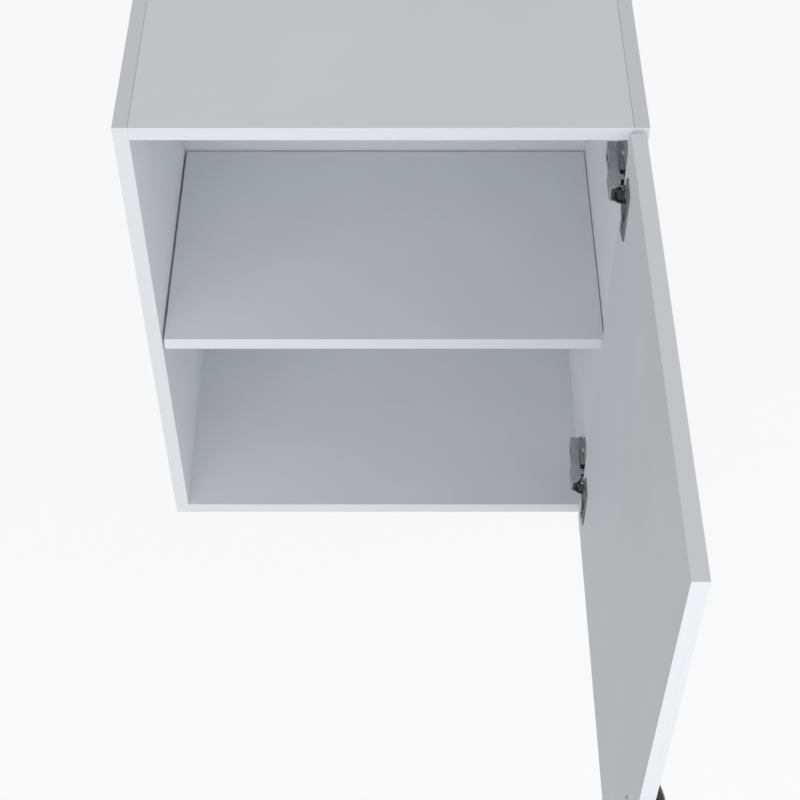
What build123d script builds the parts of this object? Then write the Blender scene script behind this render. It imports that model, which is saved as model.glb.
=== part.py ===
from build123d import *
import cmath
import math
import os

# Wall cabinet with one door that stands open at a right angle, in millimetres.
# X runs to the right, Y runs back to the wall and Z runs up.
# The origin is on the wall, midway between the two holes of the hanging rail.

# Carcass
WIDTH = 500.0
HEIGHT = 600.0
DEPTH = 320.0
BOARD = 15.0
BOARD_EDGE = 0.5
RAIL_DROP = 55.0
BACK_THICKNESS = 3.0
BACK_RECESS = 17.0
GROOVE_DEPTH = 7.0
GROOVE_PLAY = 0.2
BACK_PLAY = 0.5

# Shelf and its supports
SHELF_TOP_HEIGHT = 308.5
SHELF_LEFT_GAP = 2.5
SHELF_RIGHT_GAP = 0.9
SHELF_BACK_GAP = 2.0
PIN_RADIUS = 2.5
PIN_LENGTH = 9.8
PIN_HOLE_DEPTH = 10.5
PIN_FRONT_INSET = 52.0
PIN_REAR_INSET = 72.0
PIN_TONGUE = (12.0, 12.0, 2.0)
PIN_PLATE = (1.4, 10.5)
PIN_DROP = 5.5
PIN_RIB_SHARE = (0.7, 0.8)

# Board joints
CAM_RADIUS = 7.5
CAM_HEIGHT = 12.0
CAM_HOLE_DEPTH = 12.6
CAM_REACH = 34.0
CAM_FRONT_INSET = 45.0
CAM_REAR_INSET = 62.0
CAM_SLOT = 7.4
CAM_CROSS = (4.0, 1.6, 1.8)
BOLT_THREAD = (3.0, 10.6)
BOLT_SHANK_RADIUS = 3.3
BOLT_NECK = (1.9, 4.6)
BOLT_HEAD = (3.2, 2.4)
BOLT_HOLE_DEPTH = 11.0
BOLT_BORE_RADIUS = 3.6
DOWEL_RADIUS = 4.0
DOWEL_LENGTH = 30.0
DOWEL_IN_SIDE = 10.0
DOWEL_OFFSET = 32.0
DOWEL_CHAMFER = 1.0
FIT = 0.1

# Door, seen open at a right angle
DOOR_THICKNESS = 15.0
DOOR_EDGE_GAP = 1.5
CLOSED_GAP = 2.0
OPEN_FACE = 3.7
OPEN_SETBACK = 5.7
CLOSED_SWING = -90.0

# Hinge, where u runs from the side panel into the cabinet and v from the front edge back
HINGE_FROM_TOP = 71.0
HINGE_FROM_BOTTOM = 68.0
CUP_INSET = 22.5
CUP_BORE_RADIUS = 17.5
CUP_BORE_DEPTH = 13.0
CUP_DEPTH = 12.8
CUP_WALL = 0.8
FLANGE_THICKNESS = 1.5
FLANGE_REACH = (19.2, 43.4)
FLANGE_HALVES = (34.0, 28.6)
FLANGE_CORNER = 3.0
FLANGE_RIM = 1.6
FLANGE_NOTCH = 7.6
CUP_SCREW_OFFSET = 9.5
CUP_SCREW_SPREAD = 45.0
CUP_PIN_A = (10.0, 3.0)
CUP_PIN_B = (13.2, 3.0)
CUP_PIN_RADIUS = 1.2
CUP_PIN_HALF = 4.3
PIVOT_REACH_A = 18.0
PIVOT_REACH_B = 20.2
ARM_PIN_RADIUS = 1.25
LOOSE_PIN_PLAY = 1.7
RUNNING_FIT = 0.05
LINK_HALF_WIDTH = 1.9
LINK_EYE = 2.1
LINK_A_HALF = 3.4
NECK_RISE = 6.4
RIB = (3.7, 5.0)
RIB_FRONT = 17.0
LINK_B = (5.4, 6.9)
LINK_B_STUB = 4.5
LINK_B_BOW = 1.6
LINK_B_BARREL = 2.1
ARM_HALF_WIDTH = 9.0
ARM_WEB = 17.2
ARM_CRANK = 2.2
CRANK_FRONT = 14.0
CRANK_REAR = 17.0
ARM_GAUGE = 1.4
ARM_NOSE = 13.4
ARM_TAIL = 53.0
CHEEK_FOOT = 6.4
CHEEK_TAB = (3.0, -0.5, 5.2)
TAB_SLOPE = 1.0
TAIL_BEVEL = (8.0, 1.2)
NOSE_CURVE = ((0.0, 4.0), (0.9, 1.6), (2.6, 0.1), (4.8, 0.0), (6.8, 0.9), (8.8, 3.0), (10.6, 6.2))
PLATE_THICKNESS = 1.6
PLATE_WING_HALF = 30.0
PLATE_WING_DEPTH = 25.0
PLATE_WING_CORNER = 9.0
PLATE_SETBACK = 28.5
PLATE_SCREW_SPREAD = 32.0
SPINE_FRONT = 14.5
SPINE_TAIL = 55.5
SPINE_HEIGHT = 5.5
TOWER_FRONT = 27.0
TOWER_HALF = 7.2
TOWER_GAP = 0.3
PAD_FRONT = 0.6
PAD_STEP = 6.2
PAD_LEVELS = (2.4, 5.4)
PAD_HALF = 6.4
FIXING_SETBACK = 38.5
FIXING_SCREW = (4.2, 2.0, 2.5, 14.0)
FIXING_SLOT = 9.0
ADJUSTER_SETBACK = 20.0
ADJUSTER_RADIUS = 2.5
SPRING = (0.6, 3.2)
SPRING_REACH = (-7.6, 12.6)
SPRING_FOOT = 3.4

# Wood screws: head radius, head height, shank radius, shank length
HEAD_ROUND = 0.45
PLATE_SCREW = (3.8, 1.8, 2.2, 12.0)
CUP_SCREW = (3.6, 1.6, 1.7, 11.5)
SCREW_FIT = 0.1

# Handle, an arched bar on two posts
HANDLE_PITCH = 128.0
HANDLE_INSET = 36.0
HANDLE_MID_HEIGHT = 116.0
HANDLE_LENGTH = 200.0
HANDLE_STANDOFF = 28.0
HANDLE_ARCH = 15.0
HANDLE_WIDTH = 10.0
HANDLE_BAR = 7.0
HANDLE_EDGE = 1.8
POST_RADIUS = 4.5
HANDLE_SCREW = (4.0, 2.4, 2.0, 10.0)
HANDLE_SCREW_HOLE = 2.2

# Hanging rail and the hangers that hook over it
RAIL_END_GAP = 15.0
RAIL_GAUGE = 2.0
RAIL_FOOT = 16.0
RAIL_LIP_STEP = 6.0
RAIL_LIP_TOP = 24.0
RAIL_HOLE_INSET = 20.0
RAIL_HOLE_RADIUS = 3.5
HANGER_GAUGE = 2.5
HANGER_WIDTH = 22.0
HANGER_LEG = 30.0
HANGER_HEAD = 10.0
HANGER_TONGUE = 7.0
HANGER_SCREW_LOW = 1.0
HANGER_SCREW_SPREAD = 15.0
HANGER_SCREW = (3.4, 1.6, 2.0, 12.0)

# Lines that several pieces share
HALF = WIDTH / 2
INNER = HALF - BOARD
FRONT = -DEPTH
TOP = RAIL_DROP
UNDER = TOP - HEIGHT
BACK_FRONT = -BACK_RECESS - BACK_THICKNESS
SHELF_TOP = UNDER + SHELF_TOP_HEIGHT
SHELF_UNDER = SHELF_TOP - BOARD
DOOR_WIDTH = WIDTH - 2 * DOOR_EDGE_GAP
DOOR_LOW = UNDER + DOOR_EDGE_GAP
DOOR_HIGH = TOP - DOOR_EDGE_GAP
DOOR_FACE = INNER - OPEN_FACE
DOOR_EDGE = FRONT - OPEN_SETBACK
HINGE_LEVELS = {"upper": TOP - HINGE_FROM_TOP, "lower": UNDER + HINGE_FROM_BOTTOM}
HANDLE_LEVEL = UNDER + HANDLE_MID_HEIGHT
HANDLE_LINE = DOOR_EDGE - DOOR_WIDTH + HANDLE_INSET
REAR_WEB = ARM_WEB - ARM_CRANK
TOWER_TOP = REAR_WEB - ARM_GAUGE - TOWER_GAP
RAIL_HALF = INNER - RAIL_END_GAP
RAIL_HOLE = RAIL_HALF - RAIL_HOLE_INSET


def block(x, y, z):
    """Box between two limits on each axis."""
    size = [abs(limits[1] - limits[0]) for limits in (x, y, z)]
    middle = [sum(limits) / 2 for limits in (x, y, z)]
    return Pos(*middle) * Box(*size)


def board(x, y, z, rounded=None):
    """Board whose sharp edges are eased: all of them, or those that the test picks."""
    plain = block(x, y, z)
    return fillet(plain.edges().filter_by(rounded) if rounded else plain.edges(), BOARD_EDGE)


def rod_x(start, end, y, z, radius):
    """Round bar along X."""
    middle = (start + end) / 2
    return Pos(middle, y, z) * Rot(0, 90, 0) * Cylinder(radius, abs(end - start))


def rod_z(x, y, low, high, radius):
    """Round bar along Z."""
    return Pos(x, y, (low + high) / 2) * Cylinder(radius, high - low)


def prism(outline, low, high):
    """Outline in the XY plane raised between two levels."""
    return Pos(0, 0, low) * extrude(outline, high - low)


def strap(points, half_width, eye):
    """Flat strap through the points, with a round eye at each end."""
    outline = Pos(*points[0]) * Circle(eye) + Pos(*points[-1]) * Circle(eye)
    for point in points[1:-1]:
        outline += Pos(*point) * Circle(half_width)
    for start, end in zip(points, points[1:]):
        run = Vector(*end) - Vector(*start)
        middle = (Vector(*end) + Vector(*start)) * 0.5
        turn = math.degrees(math.atan2(run.Y, run.X))
        outline += Pos(middle.X, middle.Y) * Rot(0, 0, turn) * Rectangle(run.length, 2 * half_width)
    return outline


def screw_x(head_face, y, z, sizes, way):
    """Pan-head screw along X: way is +1 when its tip points to +X."""
    head_radius, head_height, radius, length = sizes
    head = rod_x(head_face - way * head_height, head_face, y, z, head_radius)
    edge = head.edges().filter_by(GeomType.CIRCLE).sort_by(Axis.X)[0 if way > 0 else -1]
    head = fillet(edge, head_height * HEAD_ROUND)
    return head + rod_x(head_face - way * head_height / 2, head_face + way * length, y, z, radius)


def corners(front_inset, rear_inset):
    """Depth stations of a front and a rear fitting."""
    return (FRONT + front_inset, -rear_inset)


def cam_lines():
    """Depth stations and heights of the cams in the top and bottom panels."""
    for panel_under in (TOP - BOARD, UNDER):
        for y in corners(CAM_FRONT_INSET, CAM_REAR_INSET):
            yield y, panel_under


def dowel_lines():
    """Depth stations and heights of the dowels, beside the cams."""
    for panel_under in (TOP - BOARD, UNDER):
        for y, way in zip(corners(CAM_FRONT_INSET, CAM_REAR_INSET), (1, -1)):
            yield y + way * DOWEL_OFFSET, panel_under + BOARD / 2


# Hinge geometry

def hinge_point(u, v):
    """Point of the fixed half, from its distances u and v."""
    return complex(INNER - u, FRONT + v)


def open_point(a, b):
    """Point of the open door: a from its hinge edge, b deep from its inner face."""
    return complex(DOOR_FACE + b, DOOR_EDGE - a)


def closed_point(a, b):
    """The same point of the door when it is closed."""
    return complex(HALF - DOOR_EDGE_GAP - a, FRONT - CLOSED_GAP - b)


def door_pole():
    """Fixed point of the quarter turn that carries the closed door to the open one."""
    closed, opened = closed_point(0, 0), open_point(0, 0)
    return (opened - 1j * closed) / (1 - 1j)


def arm_pivot(cup_pin, reach):
    """Pivot in the arm whose link serves the closed and the open door alike."""
    pole = door_pole()
    toward = cmath.phase(closed_point(*cup_pin) - pole) + math.pi / 4
    return pole + reach * cmath.exp(1j * toward)


def xy(point):
    """Complex point as a pair."""
    return (point.real, point.imag)


PIVOT_A = arm_pivot(CUP_PIN_A, PIVOT_REACH_A)
PIVOT_B = arm_pivot(CUP_PIN_B, PIVOT_REACH_B)
PIN_A = open_point(*CUP_PIN_A)
PIN_B = open_point(*CUP_PIN_B)


def link_turn(pivot, cup_pin):
    """Turn of a link, in degrees, from the open door to the closed one."""
    swing = (closed_point(*cup_pin) - pivot) / (open_point(*cup_pin) - pivot)
    return math.degrees(cmath.phase(swing))


# Carcass pieces

def side_panel(hand):
    """Side panel: hand is +1 on the right, where the door hangs, and -1 on the left."""
    inner = hand * INNER
    panel = board((inner, hand * HALF), (FRONT, 0), (UNDER, TOP))
    groove = (BACK_FRONT - GROOVE_PLAY / 2, -BACK_RECESS + GROOVE_PLAY / 2)
    groove_z = (UNDER + BOARD - GROOVE_DEPTH, TOP - BOARD + GROOVE_DEPTH)
    panel -= block((inner, inner + hand * GROOVE_DEPTH), groove, groove_z)
    for y, panel_under in cam_lines():
        bolt_end = inner + hand * BOLT_HOLE_DEPTH
        panel -= rod_x(inner, bolt_end, y, panel_under + BOARD / 2, BOLT_THREAD[0] + FIT)
    for y, z in dowel_lines():
        panel -= rod_x(inner, inner + hand * (DOWEL_IN_SIDE + FIT * 4), y, z, DOWEL_RADIUS + FIT)
    for y in corners(PIN_FRONT_INSET, PIN_REAR_INSET):
        panel -= rod_x(inner, inner + hand * PIN_HOLE_DEPTH, y, SHELF_UNDER - PIN_DROP, PIN_RADIUS + FIT)
    for z in hanger_screw_levels():
        screw_end = inner + hand * (HANGER_SCREW[3] - HANGER_GAUGE + FIT * 4)
        panel -= rod_x(inner, screw_end, hanger_line(), z, HANGER_SCREW[2] + SCREW_FIT)
    if hand > 0:
        for level in HINGE_LEVELS.values():
            for z in plate_screw_levels(level):
                hole = PLATE_SCREW[3] - PLATE_THICKNESS + FIT * 4
                panel -= rod_x(inner, inner + hole, FRONT + PLATE_SETBACK, z, PLATE_SCREW[2] + SCREW_FIT)
    return panel


def cross_panel(under, groove_up):
    """Top or bottom panel between the sides, bored for cams, bolts and dowels."""
    panel = board((-INNER, INNER), (FRONT, 0), (under, under + BOARD), Axis.X)
    groove = (BACK_FRONT - GROOVE_PLAY / 2, -BACK_RECESS + GROOVE_PLAY / 2)
    if groove_up:
        panel -= block((-INNER, INNER), groove, (under + BOARD - GROOVE_DEPTH, under + BOARD))
    else:
        panel -= block((-INNER, INNER), groove, (under, under + GROOVE_DEPTH))
    for hand in (-1, 1):
        for y in corners(CAM_FRONT_INSET, CAM_REAR_INSET):
            centre = hand * (INNER - CAM_REACH)
            panel -= rod_z(centre, y, under, under + CAM_HOLE_DEPTH, CAM_RADIUS)
            panel -= rod_x(centre, hand * INNER, y, under + BOARD / 2, BOLT_BORE_RADIUS)
        for y, z in dowel_lines():
            if under < z < under + BOARD:
                depth = DOWEL_LENGTH - DOWEL_IN_SIDE + FIT * 4
                panel -= rod_x(hand * (INNER - depth), hand * INNER, y, z, DOWEL_RADIUS + FIT)
    return panel


def back_panel():
    """Thin back that slides in grooves on all four sides."""
    reach = GROOVE_DEPTH - BACK_PLAY
    x = INNER + reach
    z = (UNDER + BOARD - reach, TOP - BOARD + reach)
    return block((-x, x), (BACK_FRONT, -BACK_RECESS), z)


def shelf():
    """Loose shelf, flush with the front edges of the sides and pushed towards the right one."""
    x = (SHELF_LEFT_GAP - INNER, INNER - SHELF_RIGHT_GAP)
    return board(x, (FRONT, BACK_FRONT - SHELF_BACK_GAP), (SHELF_UNDER, SHELF_TOP))


def shelf_pin(hand, y):
    """Cast shelf support: pin, backing plate, tongue under the shelf and a rib."""
    face = hand * INNER
    depth, width, thickness = PIN_TONGUE
    plate_gauge, plate_height = PIN_PLATE
    span = (y - width / 2, y + width / 2)
    support = block((face - hand * plate_gauge, face), span, (SHELF_UNDER - plate_height, SHELF_UNDER))
    support += block((face - hand * depth, face), span, (SHELF_UNDER - thickness, SHELF_UNDER))
    rib_depth, rib_drop = depth * PIN_RIB_SHARE[0], plate_height * PIN_RIB_SHARE[1]
    rib = Polygon((0, 0), (-hand * rib_depth, 0), (0, -rib_drop), align=None)
    rib_at = Plane((face, y, SHELF_UNDER), x_dir=(1, 0, 0), z_dir=(0, -1, 0))
    support += extrude(rib_at * rib, thickness / 2, both=True)
    return support + rod_x(face, face + hand * PIN_LENGTH, y, SHELF_UNDER - PIN_DROP, PIN_RADIUS)


def cam_disc(hand, y, under):
    """Cam with a slot that takes the bolt's head and a cross for the driver."""
    centre = hand * (INNER - CAM_REACH)
    disc = rod_z(centre, y, under, under + CAM_HEIGHT, CAM_RADIUS - FIT)
    slot_half = CAM_SLOT / 2
    slot_x = (centre - hand * BOLT_HEAD[1], centre + hand * CAM_RADIUS)
    middle = under + BOARD / 2
    disc -= block(slot_x, (y - slot_half, y + slot_half), (middle - slot_half, middle + slot_half))
    arm, width, depth = CAM_CROSS
    disc -= block((centre - arm, centre + arm), (y - width / 2, y + width / 2), (under, under + depth))
    disc -= block((centre - width / 2, centre + width / 2), (y - arm, y + arm), (under, under + depth))
    return disc


def cam_bolt(hand, y, z):
    """Bolt screwed into the side panel, with a neck and head for the cam."""
    thread_radius, thread_length = BOLT_THREAD
    neck_radius, neck_length = BOLT_NECK
    head_radius, head_length = BOLT_HEAD
    face = hand * INNER
    head_end = face - hand * CAM_REACH
    neck_end = head_end + hand * head_length
    shank_end = neck_end + hand * neck_length
    bolt = rod_x(face, face + hand * thread_length, y, z, thread_radius)
    bolt += rod_x(shank_end, face, y, z, BOLT_SHANK_RADIUS)
    bolt += rod_x(neck_end, shank_end, y, z, neck_radius)
    return bolt + rod_x(head_end, neck_end, y, z, head_radius)


def dowel(hand, y, z):
    """Wooden dowel across the joint of a side panel."""
    start = hand * (INNER + DOWEL_IN_SIDE)
    end = start - hand * DOWEL_LENGTH
    pin = rod_x(start, end, y, z, DOWEL_RADIUS)
    return chamfer(pin.edges().filter_by(GeomType.CIRCLE), DOWEL_CHAMFER)


# Hanging rail and hangers

def wall_rail():
    """Steel rail with a stepped lip that stands off the wall."""
    lip_back = -RAIL_LIP_STEP
    step = RAIL_LIP_TOP - 2 * RAIL_LIP_STEP
    outline = Polyline(
        (0, -RAIL_FOOT),
        (0, step),
        (lip_back, step + RAIL_LIP_STEP / 2),
        (lip_back, RAIL_LIP_TOP),
        (lip_back - RAIL_GAUGE, RAIL_LIP_TOP),
        (lip_back - RAIL_GAUGE, step + RAIL_LIP_STEP / 2 - RAIL_GAUGE / 2),
        (-RAIL_GAUGE, step - RAIL_GAUGE / 2),
        (-RAIL_GAUGE, -RAIL_FOOT),
        close=True,
    )
    section = Plane.YZ * make_face(outline)
    rail = extrude(section, RAIL_HALF, both=True)
    for hole_x in (-RAIL_HOLE, RAIL_HOLE):
        hole = Pos(hole_x, -RAIL_GAUGE / 2, 0) * Rot(90, 0, 0) * Cylinder(RAIL_HOLE_RADIUS, RAIL_GAUGE * 2)
        rail -= hole
    return rail


def hanger_line():
    """Depth station of the hanger's screws."""
    return -(BACK_RECESS + RAIL_LIP_STEP + RAIL_GAUGE) / 2


def hanger_screw_levels():
    """Heights of a hanger's two screws."""
    return (HANGER_SCREW_LOW, HANGER_SCREW_LOW + HANGER_SCREW_SPREAD)


def hanger(hand):
    """Folded steel hanger: a leg on the side panel and a hook over the rail's lip."""
    face = hand * INNER
    leg_back = -RAIL_LIP_STEP - RAIL_GAUGE
    leg_x = (face - hand * HANGER_GAUGE, face)
    leg_front = -BACK_RECESS
    high = RAIL_LIP_TOP + HANGER_GAUGE
    leg_z = (RAIL_LIP_TOP - HANGER_LEG, RAIL_LIP_TOP + HANGER_HEAD)
    bracket = block(leg_x, (leg_front, leg_back), leg_z)
    hook_x = (face - hand * HANGER_WIDTH, face)
    tongue_back = -RAIL_LIP_STEP + HANGER_GAUGE
    bracket += block(hook_x, (leg_front, tongue_back), (RAIL_LIP_TOP, high))
    tongue_front = -RAIL_LIP_STEP + FIT * 3
    bracket += block(hook_x, (tongue_front, tongue_back), (RAIL_LIP_TOP - HANGER_TONGUE, high))
    for z in hanger_screw_levels():
        bracket -= rod_x(*leg_x, hanger_line(), z, HANGER_SCREW[2] + SCREW_FIT)
    return bracket


def hanger_screws():
    """Two screws through each hanger's leg into its side panel."""
    solids = []
    for hand in (-1, 1):
        for z in hanger_screw_levels():
            solids.append(screw_x(hand * (INNER - HANGER_GAUGE), hanger_line(), z, HANGER_SCREW, hand))
    return solids


# Fixed half of the hinge

def plate_screw_levels(level):
    """Heights of a mounting plate's two screws."""
    return (level - PLATE_SCREW_SPREAD / 2, level + PLATE_SCREW_SPREAD / 2)


def mounting_plate(level):
    """Cross-shaped plate with a spine, and a tower on it that carries the arm."""
    wings = RectangleRounded(PLATE_WING_DEPTH, 2 * PLATE_WING_HALF, PLATE_WING_CORNER)
    wings_at = Plane((INNER, FRONT + PLATE_SETBACK, level), x_dir=(0, 1, 0), z_dir=(-1, 0, 0))
    plate = extrude(wings_at * wings, PLATE_THICKNESS)
    spine_z = (level - TOWER_HALF, level + TOWER_HALF)
    plate += block((INNER - SPINE_HEIGHT, INNER), (FRONT + SPINE_FRONT, FRONT + SPINE_TAIL), spine_z)
    tower_y = (FRONT + TOWER_FRONT, FRONT + ARM_TAIL - ARM_GAUGE)
    plate += block((INNER - TOWER_TOP, INNER), tower_y, spine_z)
    hole_end = min(INNER, INNER - REAR_WEB + FIXING_SCREW[3] + FIT * 4)
    plate -= rod_x(INNER - TOWER_TOP, hole_end, FRONT + FIXING_SETBACK, level, FIXING_SCREW[2] + SCREW_FIT)
    for z in plate_screw_levels(level):
        plate -= rod_x(INNER - PLATE_THICKNESS, INNER, FRONT + PLATE_SETBACK, z, PLATE_SCREW[2] + SCREW_FIT)
    return plate


def plate_pad(level):
    """Stepped plastic pad on the side panel, in front of the plate's spine."""
    low, high = PAD_LEVELS
    z = (level - PAD_HALF, level + PAD_HALF)
    front, rear = FRONT + PAD_FRONT, FRONT + SPINE_FRONT
    pad = block((INNER - low, INNER), (front, rear), z)
    return pad + block((INNER - high, INNER), (FRONT + PAD_STEP, rear), z)


def web_line(depth, beyond):
    """Cranked line at a depth under the arm's web, run on past its tail and its nose."""
    front, rear = ARM_WEB - depth, REAR_WEB - depth
    return [(front, -beyond), (front, CRANK_FRONT), (rear, CRANK_REAR), (rear, beyond)]


def arm_outline():
    """Side view of the arm: a cranked channel with a nose round both pivots."""
    tab_foot, tab_front, tab_rear = CHEEK_TAB
    points = [(ARM_WEB - drop, rise - ARM_NOSE) for drop, rise in NOSE_CURVE]
    points += [(CHEEK_FOOT, tab_front - TAB_SLOPE), (tab_foot, tab_front), (tab_foot, tab_rear)]
    points += [(CHEEK_FOOT, tab_rear + TAB_SLOPE), (CHEEK_FOOT, ARM_TAIL - TAIL_BEVEL[1])]
    points += [(REAR_WEB - TAIL_BEVEL[0], ARM_TAIL), (REAR_WEB, ARM_TAIL)]
    points += [(REAR_WEB, CRANK_REAR), (ARM_WEB, CRANK_FRONT)]
    return make_face(Polyline([xy(hinge_point(u, v)) for u, v in points], close=True))


def hinge_arm(level):
    """Pressed channel that holds both link pivots."""
    low, high = level - ARM_HALF_WIDTH, level + ARM_HALF_WIDTH
    arm = prism(arm_outline(), low, high)
    beyond = 2 * ARM_TAIL
    hollow = web_line(ARM_GAUGE, beyond) + [(-ARM_WEB, beyond), (-ARM_WEB, -beyond)]
    hollow_face = make_face(Polyline([xy(hinge_point(u, v)) for u, v in hollow], close=True))
    arm -= prism(hollow_face, low + ARM_GAUGE, high - ARM_GAUGE)
    for pivot in (PIVOT_A, PIVOT_B):
        arm -= rod_z(*xy(pivot), low, high, ARM_PIN_RADIUS)
    web = INNER - REAR_WEB
    slot = SlotCenterToCenter(FIXING_SLOT - 2 * FIXING_SCREW[2], 2 * FIXING_SCREW[2] + 4 * SCREW_FIT)
    slot_at = Plane((web, FRONT + FIXING_SETBACK, level), x_dir=(0, 1, 0), z_dir=(1, 0, 0))
    arm -= extrude(slot_at * slot, ARM_GAUGE)
    return arm - rod_x(web, web + ARM_GAUGE, FRONT + ADJUSTER_SETBACK, level, ADJUSTER_RADIUS + FIT)


def arm_pins(level):
    """Pins of both links, held in the arm's cheeks."""
    low, high = level - ARM_HALF_WIDTH, level + ARM_HALF_WIDTH
    return [rod_z(*xy(pivot), low, high, ARM_PIN_RADIUS) for pivot in (PIVOT_A, PIVOT_B)]


def arm_screws(level):
    """Fixing screw in the slot and the headless screw that sets the overlay."""
    web = INNER - REAR_WEB
    fixing = screw_x(web, FRONT + FIXING_SETBACK, level, FIXING_SCREW, 1)
    adjuster_end = INNER - SPINE_HEIGHT
    adjuster = rod_x(web - ARM_GAUGE / 2, adjuster_end, FRONT + ADJUSTER_SETBACK, level, ADJUSTER_RADIUS)
    return [fixing, adjuster]


def arm_spring(level):
    """Leaf spring under the web that snaps the door shut."""
    gauge, half = SPRING
    front, rear = SPRING_REACH
    web = INNER - ARM_WEB + ARM_GAUGE
    z = (level - half, level + half)
    leaf = block((web + 2 * gauge, web + 3 * gauge), (FRONT + front, FRONT + rear), z)
    return leaf + block((web, web + 3 * gauge), (FRONT + rear - SPRING_FOOT, FRONT + rear), z)


def plate_screws():
    """Two screws through each mounting plate."""
    solids = []
    for level in HINGE_LEVELS.values():
        for z in plate_screw_levels(level):
            solids.append(screw_x(INNER - PLATE_THICKNESS, FRONT + PLATE_SETBACK, z, PLATE_SCREW, 1))
    return solids


# Links

def swan_link(level):
    """Swan-necked link: straight out of the cup, then across to the arm."""
    neck = PIN_A - complex(NECK_RISE, 0)
    outline = strap([xy(PIN_A), xy(neck), xy(PIVOT_A)], LINK_HALF_WIDTH, LINK_EYE)
    link = prism(outline, level - LINK_A_HALF, level + LINK_A_HALF)
    low, high = level - LINK_A_HALF, level + LINK_A_HALF
    link -= rod_z(*xy(PIN_A), low, high, CUP_PIN_RADIUS + RUNNING_FIT)
    return link - rod_z(*xy(PIVOT_A), low, high, ARM_PIN_RADIUS + RUNNING_FIT)


def fork_link(level):
    """Forked link: two bowed plates joined by a barrel on the arm's pin."""
    run = PIN_B - PIVOT_B
    bow = PIVOT_B + run * 0.45 - 1j * run / abs(run) * LINK_B_BOW
    outline = strap([xy(PIVOT_B), xy(bow), xy(PIN_B)], LINK_HALF_WIDTH, LINK_EYE)
    near, far = LINK_B
    link = rod_z(*xy(PIVOT_B), level - far, level + far, LINK_B_BARREL)
    for way in (-1, 1):
        low, high = sorted((level + way * near, level + way * far))
        link += prism(outline, low, high)
        low, high = sorted((level + way * LINK_B_STUB, level + way * far))
        link += rod_z(*xy(PIN_B), low, high, CUP_PIN_RADIUS)
    return link - rod_z(*xy(PIVOT_B), level - far, level + far, ARM_PIN_RADIUS + RUNNING_FIT)


# Door side of the hinge

def cup_centre():
    """Centre of the cup on the inner face of the open door."""
    return open_point(CUP_INSET, 0)


def hinge_cup(level):
    """Cup with its flange, and two ribs inside that hold the swan link's pin."""
    centre = cup_centre()
    radius = CUP_BORE_RADIUS - FIT
    cavity = radius - CUP_WALL
    face, y = xy(centre)
    cup = rod_x(face, face + CUP_DEPTH, y, level, radius)
    near, far = (CUP_INSET - reach for reach in FLANGE_REACH)
    tall, short = FLANGE_HALVES
    plate = make_face(Polyline((near, -tall), (near, tall), (far, short), (far, -short), close=True))
    flange = fillet(plate.vertices(), FLANGE_CORNER) + Circle(radius + FLANGE_RIM)
    flange_at = Plane((face - FLANGE_THICKNESS, y, level), x_dir=(0, 1, 0), z_dir=(1, 0, 0))
    cup += extrude(flange_at * flange, FLANGE_THICKNESS)
    cup -= rod_x(face - FLANGE_THICKNESS, face + CUP_DEPTH - CUP_WALL, y, level, cavity)
    notch_y = (y, y + radius + 2 * FLANGE_RIM)
    cup -= block((face - FLANGE_THICKNESS, face), notch_y, (level - FLANGE_NOTCH, level + FLANGE_NOTCH))
    for way in (-1, 1):
        low, high = sorted((level + way * RIB[0], level + way * RIB[1]))
        rib_x = (face, face + CUP_DEPTH - CUP_WALL / 2)
        rib = block(rib_x, (DOOR_EDGE - RIB_FRONT, DOOR_EDGE), (low, high))
        cup += rib & rod_x(face, face + CUP_DEPTH, y, level, radius)
        cup -= rod_z(*xy(PIN_B), low, high, CUP_PIN_RADIUS + LOOSE_PIN_PLAY)
        cup -= rod_z(*xy(PIN_A), low, high, CUP_PIN_RADIUS)
    for z in cup_screw_levels(level):
        cup -= rod_x(face - FLANGE_THICKNESS, face, cup_screw_line(), z, CUP_SCREW[2] + SCREW_FIT)
    return cup


def cup_pin(level):
    """Pin of the swan link, held in the ribs of the cup."""
    return rod_z(*xy(PIN_A), level - CUP_PIN_HALF, level + CUP_PIN_HALF, CUP_PIN_RADIUS)


def cup_screw_line():
    """Depth station of the cup's screws on the open door."""
    return DOOR_EDGE - CUP_INSET - CUP_SCREW_OFFSET


def cup_screw_levels(level):
    """Heights of a cup's two screws."""
    return (level - CUP_SCREW_SPREAD / 2, level + CUP_SCREW_SPREAD / 2)


def cup_screws():
    """Two screws through each cup's flange into the door."""
    solids = []
    for level in HINGE_LEVELS.values():
        for z in cup_screw_levels(level):
            solids.append(screw_x(DOOR_FACE - FLANGE_THICKNESS, cup_screw_line(), z, CUP_SCREW, 1))
    return solids


# Door and handle

def handle_screw_levels():
    """Heights of the handle's two screws."""
    return (HANDLE_LEVEL - HANDLE_PITCH / 2, HANDLE_LEVEL + HANDLE_PITCH / 2)


def door_panel():
    """Door board with its cup bores and screw holes."""
    outer = DOOR_FACE + DOOR_THICKNESS
    panel = board((DOOR_FACE, outer), (DOOR_EDGE - DOOR_WIDTH, DOOR_EDGE), (DOOR_LOW, DOOR_HIGH))
    for level in HINGE_LEVELS.values():
        panel -= rod_x(DOOR_FACE, DOOR_FACE + CUP_BORE_DEPTH, DOOR_EDGE - CUP_INSET, level, CUP_BORE_RADIUS)
        for z in cup_screw_levels(level):
            hole = CUP_SCREW[3] - FLANGE_THICKNESS + FIT * 4
            panel -= rod_x(DOOR_FACE, DOOR_FACE + hole, cup_screw_line(), z, CUP_SCREW[2] + SCREW_FIT)
    for z in handle_screw_levels():
        panel -= rod_x(DOOR_FACE, outer, HANDLE_LINE, z, HANDLE_SCREW_HOLE)
    return panel


def bar_radius():
    """Radius of the handle's outer arc, from its length and its arch."""
    return ((HANDLE_LENGTH / 2) ** 2 + HANDLE_ARCH ** 2) / (2 * HANDLE_ARCH)


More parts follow.
